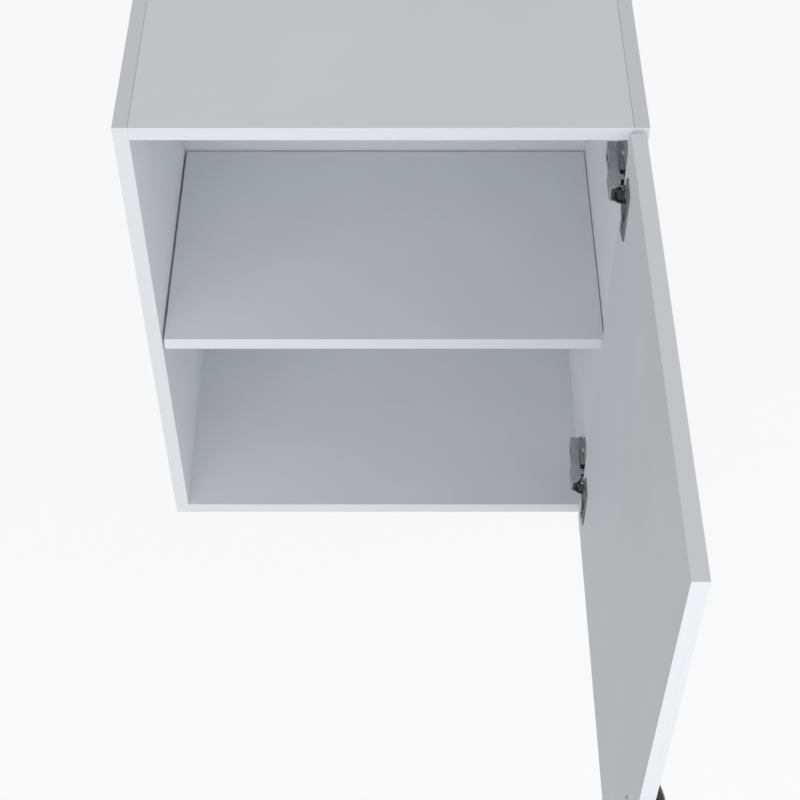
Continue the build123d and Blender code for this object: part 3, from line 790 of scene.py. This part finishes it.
@dataclass
class Carcass:
    """Boards of the cabinet and what joins them."""

    # Painted light: the side boards' face is a lighter copy of the white melamine, which brightens the inner
    # walls.
    side_board: MelamineBoard = MelamineBoard("side_melamine_painted_light", (0.880, 0.900, 0.925), (0.735, 0.755, 0.783))
    flat_board: MelamineBoard = MelamineBoard("flat_melamine", band=(0.735, 0.755, 0.783))
    # Painted shade: the shelf's face is a darker copy of the white melamine.
    shelf_board: MelamineBoard = MelamineBoard("shelf_melamine_painted_shade", (0.765, 0.786, 0.813), (0.735, 0.755, 0.783))
    hardboard: Hardboard = Hardboard("back_hardboard")
    cast: CastMetal = CastMetal("cast_zinc")
    plating: PlatedSteel = PlatedSteel("zinc_plating", (0.56, 0.57, 0.60), (0.42, 0.43, 0.46), 0.32, 0.8,
                                       edge_gloss=1.0)
    wood: PlainWood = PlainWood("beech_dowel")
    small_ease: float = 0.25 * MM

    def make_boards(self) -> None:
        """Dress the boards."""
        for node in ("side_left", "side_right"):
            low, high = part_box(node)
            inner = min(abs(low.x), abs(high.x))
            dress(node, self.side_board.material((low, high), (Axis.Y,), Axis.X, joint=inner))
        for node in ("top_panel", "bottom_panel"):
            dress(node, self.flat_board.material(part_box(node), (Axis.Y,), Axis.Z))
        dress("shelf", self.shelf_board.material(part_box("shelf"), (Axis.X, Axis.Y), Axis.Z, bare_rear=False))
        dress("back_panel", self.hardboard.material())

    def make_fittings(self) -> None:
        """Build the shelf pins and the cams, and dress what is inside the boards."""
        cast = self.cast.material()
        for node, slot in (("shelf_pins", "zinc"), ("cam_discs", "zinc")):
            finish_piece(f"{node}_cast", eased(node, self.small_ease), Body.CABINET, cast, (node,))
        dress("cam_bolts", self.plating.material())
        dress("dowels", self.wood.material())

    def make(self) -> None:
        """Build the carcass."""
        self.make_boards()
        self.make_fittings()


@dataclass
class HangingRail:
    """Steel rail on the wall and the two hangers that hook over it."""

    plating: PlatedSteel = PlatedSteel("rail_plating", (0.58, 0.59, 0.62), (0.40, 0.41, 0.44), 0.34, 0.85,
                                       (0.04, 1.0, 1.0), 1.0)
    fold: float = 0.4 * MM
    screw: tuple[float, float, float, float] = (3.4 * MM, 1.6 * MM, 2.0 * MM, 12.0 * MM)

    def make(self) -> None:
        """Build the rail, the hangers and their screws."""
        steel = self.plating.material()
        for node in ("wall_rail", "hanger_left", "hanger_right"):
            finish_piece(f"{node}_folded", eased(node, self.fold, 3), Body.CABINET, steel,
                         (node,))
        ScrewSet("hanger_screws", self.screw, Body.CABINET).make(steel)


@dataclass
class CupHinge:
    """One concealed hinge: plate, arm, links and cup."""

    place: Place
    press_roll: float = 0.35 * MM
    fine_roll: float = 0.15 * MM
    rivet_radius: float = 1.9 * MM
    rivet_rise: float = 0.45 * MM
    fixing_screw: tuple[float, float, float, float] = (3.4 * MM, 0.7 * MM, 2.5 * MM, 13.8 * MM)
    fixing_seat: float = 2.0 * MM
    slot_forward: float = 15.0 * MM
    slot_back: float = 7.0 * MM
    slot_half_width: float = 3.0 * MM
    slot_wall: float = 0.25 * MM
    slot_depth: float = 0.4 * MM

    def node(self, stem: str) -> str:
        """Name of one of this hinge's CAD nodes."""
        return f"{stem}_{self.place.value}"

    def pressed(self, stem: str, body: Body, material: bpy.types.Material, roll: float) -> None:
        """Build a pressed piece with rolled edges.

        Args:
            stem: Name of its CAD node without the place.
            body: Body that it moves with.
            material: Its finish.
            roll: Width of the rolled edges.
        """
        node = self.node(stem)
        finish_piece(f"{node}_pressed", eased(node, roll), body, material, (node,))

    def rivets(self, material: bpy.types.Material) -> None:
        """Build the arm's two pins with a domed head at each end.

        Args:
            material: Finish of the pins.
        """
        node = self.node("arm_pins")
        shapes = []
        for low, high in solid_boxes(node):
            middle = (low + high) / 2
            shape = bmesh.new()
            radius = (high.x - low.x) / 2
            rod = bmesh.ops.create_cone(shape, cap_ends=True, segments=24, radius1=radius, radius2=radius,
                                        depth=high.z - low.z)["verts"]
            bmesh.ops.translate(shape, verts=rod, vec=middle)
            for end, way in ((low.z, -1.0), (high.z, 1.0)):
                dome = bmesh.ops.create_uvsphere(shape, u_segments=24, v_segments=12, radius=self.rivet_radius)
                flat = self.rivet_rise / self.rivet_radius
                bmesh.ops.scale(shape, verts=dome["verts"], vec=(1.0, 1.0, flat))
                bmesh.ops.translate(shape, verts=dome["verts"], vec=(middle.x, middle.y, end + way * 0.02 * MM))
            shapes.append(shape)
        finish_piece(f"{node}_rivets", gather(shapes), Body.CABINET, material, (node,))

    def arm_screws(self, material: bpy.types.Material) -> None:
        """Build the arm's fixing screw and its headless adjuster.

        Args:
            material: Finish of the screws.
        """
        node = self.node("arm_screws")
        boxes = sorted(solid_boxes(node), key=lambda box: box[0].y)
        low, high = boxes[0]
        middle = (low + high) / 2
        radius = (high.y - low.y) / 2
        grub = ScrewHead(recess_share=0.66, recess_half=0.17, round_share=0.12)
        length = high.x - low.x
        cap = radius * 0.9
        seat = Vector((low.x + cap, middle.y, middle.z))
        shapes = [grub.along_x((radius, cap, radius * 0.92, length - cap), seat, 1.0, 31.0)]
        low, high = boxes[1]
        middle = (low + high) / 2
        seat = Vector((low.x + self.fixing_seat, middle.y, middle.z))
        shapes.append(ScrewHead().along_x(self.fixing_screw, seat, 1.0, 8.0))
        finish_piece(f"{node}_crosshead", gather(shapes), Body.CABINET, material, (node,), sharp=38.0)

    def web_slot(self) -> Corners:
        """Slot along the arm's web, round the fixing screw.

        Returns:
            Its lowest and highest corner.
        """
        low, high = max(solid_boxes(self.node("arm_screws")), key=lambda box: box[0].y)
        middle = (low + high) / 2
        middle.x = low.x + self.fixing_seat
        return (middle - Vector((0.0, self.slot_forward, self.slot_half_width)),
                middle + Vector((0.0, self.slot_back, self.slot_half_width)))

    def slotted_arm(self, material: bpy.types.Material) -> None:
        """Build the arm and press a shallow slot into its web.

        Args:
            material: Its finish.
        """
        node = self.node("hinge_arm")
        shape = eased(node, self.press_roll)
        bmesh.ops.recalc_face_normals(shape, faces=shape.faces)
        low, high = self.web_slot()
        bmesh.ops.triangulate(shape, faces=self.web_faces(shape, low.x))
        for axis, corner in ((Axis.Y, low), (Axis.Y, high), (Axis.Z, low), (Axis.Z, high)):
            flat = self.web_faces(shape, low.x)
            parts = list({item for face in flat for item in (*face.verts, *face.edges)}) + flat
            across = Vector([float(axis is other) for other in Axis])
            bmesh.ops.bisect_plane(shape, geom=parts, plane_co=corner, plane_no=across)
        inside = []
        for face in self.web_faces(shape, low.x):
            middle = face.calc_center_median()
            if low.y < middle.y < high.y and low.z < middle.z < high.z:
                inside.append(face)
        bmesh.ops.inset_region(shape, faces=inside, thickness=self.slot_wall, depth=-self.slot_depth,
                               use_boundary=True, use_even_offset=True)
        finish_piece(f"{node}_pressed", shape, Body.CABINET, material, (node,))

    def web_faces(self, shape: bmesh.types.BMesh, level: float) -> list[bmesh.types.BMFace]:
        """Flat outer faces of the web.

        Args:
            shape: The arm.
            level: Where the web's outer face lies along X.

        Returns:
            The faces.
        """
        return [face for face in shape.faces
                if face.normal.x < -0.9 and abs(face.calc_center_median().x - level) < 0.02 * MM]

    def make(self, steel: PlatedSteel, plate: bpy.types.Material, cup: bpy.types.Material,
             dark: bpy.types.Material, bright: bpy.types.Material, shaded: bpy.types.Material) -> None:
        """Build the hinge.

        Args:
            steel: Finish of the arm, which is made with the painted shade of its slot.
            plate: Finish of the mounting plate, darker than the arm's steel as painted shade.
            cup: Finish of the cup and its flange, darker than the arm's steel as painted shade.
            dark: Finish of the links, darkened to near-black as painted shade.
            bright: Finish of the pins.
            shaded: Finish of the arm's screws, a darker copy of the screw steel as painted shade.
        """
        self.pressed("mounting_plate", Body.CABINET, plate, self.press_roll)
        self.slotted_arm(steel.material(self.web_slot()))
        self.pressed("hinge_cup", Body.DOOR, cup, self.fine_roll)
        self.pressed("swan_link", Body.SWAN, dark, self.press_roll)
        self.pressed("fork_link", Body.FORK, dark, self.fine_roll)
        self.pressed("arm_spring", Body.CABINET, dark, self.fine_roll / 2)
        self.rivets(bright)
        self.arm_screws(shaded)
        dress(self.node("cup_pin"), bright)


@dataclass
class Hinges:
    """Both cup hinges, with the screws that hold them."""

    steel: PlatedSteel = PlatedSteel("nickel_steel")
    # Painted shade: the mounting plate is a darker copy of the arm's steel.
    plate: PlatedSteel = PlatedSteel("plate_steel_painted_shade", (0.42, 0.43, 0.44), (0.30, 0.308, 0.318))
    # Painted shade: the cup, its flange and its screws are a darker copy of the arm's steel.
    cup: PlatedSteel = PlatedSteel("cup_steel_painted_shade", (0.27, 0.277, 0.287), (0.175, 0.180, 0.188))
    # Painted shade: the links and the spring are near-black, standing in for the shadow between the arm's cheeks.
    dark: PlatedSteel = PlatedSteel("link_steel_painted_shade", (0.085, 0.089, 0.094), (0.055, 0.058, 0.062), 0.5, 0.25,
                                    (1.0, 1.0, 0.1))
    bright: PlatedSteel = PlatedSteel("screw_steel", (0.55, 0.56, 0.58), (0.42, 0.43, 0.45), 0.32, 0.7,
                                      (1.0, 1.0, 1.0), 0.8)
    # Painted shade: a darker copy of the screw steel for the arm's screws, so the fixing screw shows no highlight.
    shaded: PlatedSteel = PlatedSteel("arm_screw_steel_painted_shade", (0.24, 0.245, 0.25), (0.15, 0.153, 0.157), 0.42, 0.5,
                                      (1.0, 1.0, 1.0))
    plastic: MouldedPlastic = MouldedPlastic("pad_plastic")
    plate_screw: tuple[float, float, float, float] = (3.8 * MM, 1.8 * MM, 2.2 * MM, 12.0 * MM)
    cup_screw: tuple[float, float, float, float] = (3.6 * MM, 1.6 * MM, 1.7 * MM, 11.5 * MM)

    def make(self) -> None:
        """Build both hinges, their screws and the plates' pads."""
        plate, cup, dark = self.plate.material(), self.cup.material(), self.dark.material()
        bright, shaded = self.bright.material(), self.shaded.material()
        for place in Place:
            CupHinge(place).make(self.steel, plate, cup, dark, bright, shaded)
        ScrewSet("plate_screws", self.plate_screw, Body.CABINET).make(bright)
        ScrewSet("cup_screws", self.cup_screw, Body.DOOR, first_turn=50.0).make(cup)
        finish_piece("plate_pads_moulded", eased("plate_pads", 0.3 * MM), Body.CABINET,
                     self.plastic.material(), ("plate_pads",))


@dataclass
class BowHandle:
    """Black arched bar on two round posts."""

    coat: PowderCoat = PowderCoat("black_coat")
    plating: PlatedSteel = PlatedSteel("handle_screw_plating", (0.56, 0.57, 0.60), (0.42, 0.43, 0.46), 0.30, 0.85,
                                       (1.0, 1.0, 1.0), 1.0)
    arch: float = 17.0 * MM
    bar: float = 7.0 * MM
    end_bar: float = 5.2 * MM
    end_width_share: float = 0.7
    edge: float = 0.9 * MM
    post_radius: float = 4.5 * MM
    foot: float = 0.7 * MM
    pitch: float = 128.0 * MM
    steps: int = 48
    screw: tuple[float, float, float, float] = (4.0 * MM, 2.4 * MM, 2.0 * MM, 24.8 * MM)

    def bow(self, low: Vector, high: Vector, radius: float) -> bmesh.types.BMesh:
        """Arched bar, spun from its rectangular section.

        Args:
            low: Lowest corner of the handle.
            high: Highest corner of the handle.
            radius: Radius of the bar's outer arc.

        Returns:
            The shape.
        """
        middle = (low + high) / 2
        width = high.y - low.y
        half_angle = math.asin((high.z - low.z) / 2 / radius)
        shape = bmesh.new()
        section = bmesh.ops.create_grid(shape, x_segments=1, y_segments=1, size=0.5)["verts"]
        bmesh.ops.scale(shape, verts=section, vec=(self.bar, width, 1.0))
        centre = Vector((high.x - radius, middle.y, middle.z))
        bmesh.ops.translate(shape, verts=section, vec=centre + Vector((radius - self.bar / 2, 0.0, 0.0)))
        bmesh.ops.rotate(shape, verts=section, cent=centre, matrix=Matrix.Rotation(half_angle, 3, "Y"))
        bmesh.ops.spin(shape, geom=shape.verts[:] + shape.edges[:] + shape.faces[:], cent=centre,
                       axis=(0.0, -1.0, 0.0), dvec=(0.0, 0.0, 0.0), angle=2 * half_angle, steps=self.steps)
        bmesh.ops.remove_doubles(shape, verts=shape.verts, dist=0.001 * MM)
        self.taper(shape, centre, radius, half_angle)
        bmesh.ops.recalc_face_normals(shape, faces=shape.faces)
        sharp = [line for line in shape.edges
                 if len(line.link_faces) == 2 and line.calc_face_angle(0.0) > math.radians(40.0)]
        bmesh.ops.bevel(shape, geom=sharp, offset=self.edge, offset_type="OFFSET", segments=5, profile=0.5,
                        affect="EDGES", clamp_overlap=True, material=-1)
        return shape

    def taper(self, shape: bmesh.types.BMesh, centre: Vector, radius: float, half_angle: float) -> None:
        """Slim the bar towards both ends, ring by ring.

        Args:
            shape: The bar.
            centre: Centre of its arc.
            radius: Radius of its outer arc.
            half_angle: Angle from its middle to an end.
        """
        rings: dict[int, list[bmesh.types.BMVert]] = {}
        for vertex in shape.verts:
            off = vertex.co - centre
            rings.setdefault(round(math.atan2(off.z, off.x) / half_angle * self.steps), []).append(vertex)
        for number, ring in rings.items():
            share = (number / self.steps) ** 2
            angle = number / self.steps * half_angle
            thick = 1.0 - share * (1.0 - self.end_bar / self.bar)
            wide = 1.0 - share * (1.0 - self.end_width_share)
            inner = radius - self.bar
            foot = centre + Vector((inner * math.cos(angle), 0.0, inner * math.sin(angle)))
            turned = Matrix.Rotation(angle, 4, "Y") @ Matrix.Translation(-foot)
            bmesh.ops.scale(shape, verts=ring, vec=(thick, wide, 1.0), space=turned)

    def post(self, start: Vector, end_x: float) -> bmesh.types.BMesh:
        """Round post with an eased foot on the door.

        Args:
            start: Middle of its foot.
            end_x: Where it ends inside the bar.

        Returns:
            The shape.
        """
        shape = bmesh.new()
        length = end_x - start.x
        rod = bmesh.ops.create_cone(shape, cap_ends=True, segments=40, radius1=self.post_radius,
                                    radius2=self.post_radius, depth=length)["verts"]
        lay = Matrix.Translation(start + Vector((length / 2, 0.0, 0.0))) @ Matrix.Rotation(math.pi / 2, 4, "Y")
        bmesh.ops.transform(shape, matrix=lay, verts=rod)
        rim = [edge for edge in shape.edges
               if all(abs(vertex.co.x - start.x) < 0.01 * MM for vertex in edge.verts)]
        bmesh.ops.bevel(shape, geom=rim, offset=self.foot, offset_type="OFFSET", segments=3, profile=0.5,
                        affect="EDGES", clamp_overlap=True, material=-1)
        return shape

    def make(self) -> None:
        """Build the handle and its screws."""
        low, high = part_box("handle")
        middle = (low + high) / 2
        half = (high.z - low.z) / 2
        radius = (half ** 2 + self.arch ** 2) / (2 * self.arch)
        shapes = [self.bow(low, high, radius)]
        for way in (-1.0, 1.0):
            rise = way * self.pitch / 2
            inner_arc = high.x - radius + math.sqrt((radius - self.bar) ** 2 - rise ** 2)
            start = Vector((low.x, middle.y, middle.z + rise))
            shapes.append(self.post(start, inner_arc + self.bar / 2))
        finish_piece("handle_bow", gather(shapes), Body.DOOR, self.coat.material(), ("handle",))
        ScrewSet("handle_screws", self.screw, Body.DOOR).make(self.plating.material())


@dataclass
class Door:
    """Door board and its handle."""

    # Painted light: the door's edge band is a lighter copy of the carcass bands.
    board: MelamineBoard = MelamineBoard("door_melamine_painted_light", band=(0.790, 0.812, 0.840))
    handle: BowHandle = field(default_factory=BowHandle)

    def make(self) -> None:
        """Dress the board and build the handle."""
        dress("door_panel", self.board.material(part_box("door_panel"), (Axis.Y, Axis.Z), Axis.X, bare_rear=False))
        self.handle.make()


# Studio

@dataclass
class Studio:
    """Camera at the photograph's place, a pale floor and plain soft light."""

    camera_place: Vector = field(default_factory=lambda: Vector((0.01784, -1.51004, 1.07728)))
    camera_pitch: float = 49.905
    focal_pixels: float = 1671.2
    photo_pixels: float = 800.0
    sensor: float = 36.0
    floor_drop: float = 1.4
    floor_half: float = 6.0
    white: float = 0.935
    floor_lift: float = 0.385
    glow: dict[tuple[Axis, int], float] = field(default_factory=lambda: {
        (Axis.X, 1): 1.05, (Axis.X, -1): 0.22, (Axis.Y, 1): 0.59, (Axis.Y, -1): 2.32,
        (Axis.Z, 1): 0.54, (Axis.Z, -1): 0.15})
    lamp_power: float = 4.85

    def camera(self) -> None:
        """Place the camera and make it the scene's own."""
        data = bpy.data.cameras.new("camera")
        data.sensor_fit = "HORIZONTAL"
        data.sensor_width = self.sensor
        data.lens = self.sensor * self.focal_pixels / self.photo_pixels
        data.clip_end = 50.0
        camera = bpy.data.objects.new("camera", data)
        bpy.context.scene.collection.objects.link(camera)
        camera.location = self.camera_place
        camera.rotation_euler = (math.radians(90.0 - self.camera_pitch), 0.0, 0.0)
        bpy.context.scene.camera = camera

    def seen_white(self, tree: bpy.types.NodeTree, lit: Socket, white: Socket) -> Socket:
        """Show plain white to the camera, to reflections and through glass.

        Args:
            tree: Tree of the floor or of the world.
            lit: Shader that the other rays see.
            white: Shader that these rays see.

        Returns:
            The mixed shader.
        """
        path = tree.nodes.new("ShaderNodeLightPath")
        chosen = path.outputs["Is Camera Ray"]
        for name in ("Is Glossy Ray", "Is Transmission Ray"):
            most = tree.nodes.new("ShaderNodeMath")
            most.operation = "MAXIMUM"
            tree.links.new(chosen, most.inputs[0])
            tree.links.new(path.outputs[name], most.inputs[1])
            chosen = most.outputs[0]
        mixer = tree.nodes.new("ShaderNodeMixShader")
        tree.links.new(chosen, mixer.inputs[0])
        tree.links.new(lit, mixer.inputs[1])
        tree.links.new(white, mixer.inputs[2])
        return mixer.outputs[0]

    def floor(self) -> None:
        """Lay a pale floor below the cabinet, lifted to white for the camera and still shaded."""
        mesh = bpy.data.meshes.new("floor")
        shape = bmesh.new()
        bmesh.ops.create_grid(shape, x_segments=1, y_segments=1, size=self.floor_half)
        level = CAD_BOX[0][2] - self.floor_drop
        bmesh.ops.translate(shape, verts=shape.verts, vec=(0.0, 0.0, level))
        shape.to_mesh(mesh)
        shape.free()
        floor = bpy.data.objects.new("floor", mesh)
        bpy.context.scene.collection.objects.link(floor)
        tree = ShaderTree("pale_floor")
        tree.feed(Base_Color=(0.86, 0.86, 0.87, 1.0), Roughness=0.8)
        lift = tree.node("Emission", Strength=self.floor_lift)
        white = tree.node("AddShader")
        tree.links.new(tree.shader.outputs["BSDF"], white.inputs[0])
        tree.links.new(lift.outputs[0], white.inputs[1])
        shown = self.seen_white(tree.material.node_tree, tree.shader.outputs["BSDF"], white.outputs[0])
        tree.links.new(shown, tree.output.inputs["Surface"])
        mesh.materials.append(tree.material)

    def world(self) -> None:
        """Soft light from all round, strongest from the front, white where the camera sees it."""
        world = bpy.data.worlds.new("studio")
        world.use_nodes = True
        tree = world.node_tree
        tree.nodes.clear()
        output = tree.nodes.new("ShaderNodeOutputWorld")
        lit = tree.nodes.new("ShaderNodeBackground")
        seen = tree.nodes.new("ShaderNodeBackground")
        seen.inputs["Color"].default_value = (1.0, 1.0, 1.0, 1.0)
        seen.inputs["Strength"].default_value = self.white
        ways = tree.nodes.new("ShaderNodeTexCoord")
        parts = tree.nodes.new("ShaderNodeSeparateXYZ")
        tree.links.new(ways.outputs["Generated"], parts.inputs[0])
        total = None
        for (axis, sign), strength in self.glow.items():
            toward = self.step(tree, "MULTIPLY", parts.outputs[axis.value], float(sign))
            toward = self.step(tree, "MAXIMUM", toward, 0.0)
            share = self.step(tree, "MULTIPLY", self.step(tree, "POWER", toward, 2.0), strength)
            total = share if total is None else self.step(tree, "ADD", total, share)
        tree.links.new(total, lit.inputs["Strength"])
        tree.links.new(self.seen_white(tree, lit.outputs[0], seen.outputs[0]), output.inputs["Surface"])
        bpy.context.scene.world = world

    def step(self, tree: bpy.types.NodeTree, operation: str, first: Socket, second: object) -> Socket:
        """Math node of the world.

        Args:
            tree: Tree of the world.
            operation: Blender's name of the operation.
            first: First operand.
            second: Second operand, a socket or a number.

        Returns:
            The value socket.
        """
        made = tree.nodes.new("ShaderNodeMath")
        made.operation = operation
        tree.links.new(first, made.inputs[0])
        if isinstance(second, float):
            made.inputs[1].default_value = second
        else:
            tree.links.new(second, made.inputs[1])
        return made.outputs[0]

    def lamp(self, name: str, place: Vector, target: Vector, size: float, power: float) -> None:
        """Hang one soft square lamp.

        Args:
            name: Name of the lamp.
            place: Where it hangs.
            target: Point that it faces.
            size: Length of its side.
            power: Its power in watts.
        """
        data = bpy.data.lights.new(name, "AREA")
        data.size = size
        data.energy = power
        lamp = bpy.data.objects.new(name, data)
        lamp.location = place
        lamp.rotation_euler = (target - place).to_track_quat("-Z", "Y").to_euler()
        bpy.context.scene.collection.objects.link(lamp)

    def make(self) -> None:
        """Set the stage."""
        self.camera()
        self.floor()
        self.world()
        self.lamp("front_lamp", Vector((0.0, -2.4, 0.9)), Vector((0.0, -0.4, -0.2)), 3.0, self.lamp_power)
        bpy.context.scene.view_settings.view_transform = "Standard"
        LOG.info("studio ready")


def main() -> None:
    """Build the whole scene in order."""
    logging.basicConfig(level=logging.INFO, format="%(name)s: %(message)s")
    Studio().make()
    Carcass().make()
    HangingRail().make()
    Hinges().make()
    Door().make()


if __name__ == "__main__":
    main()
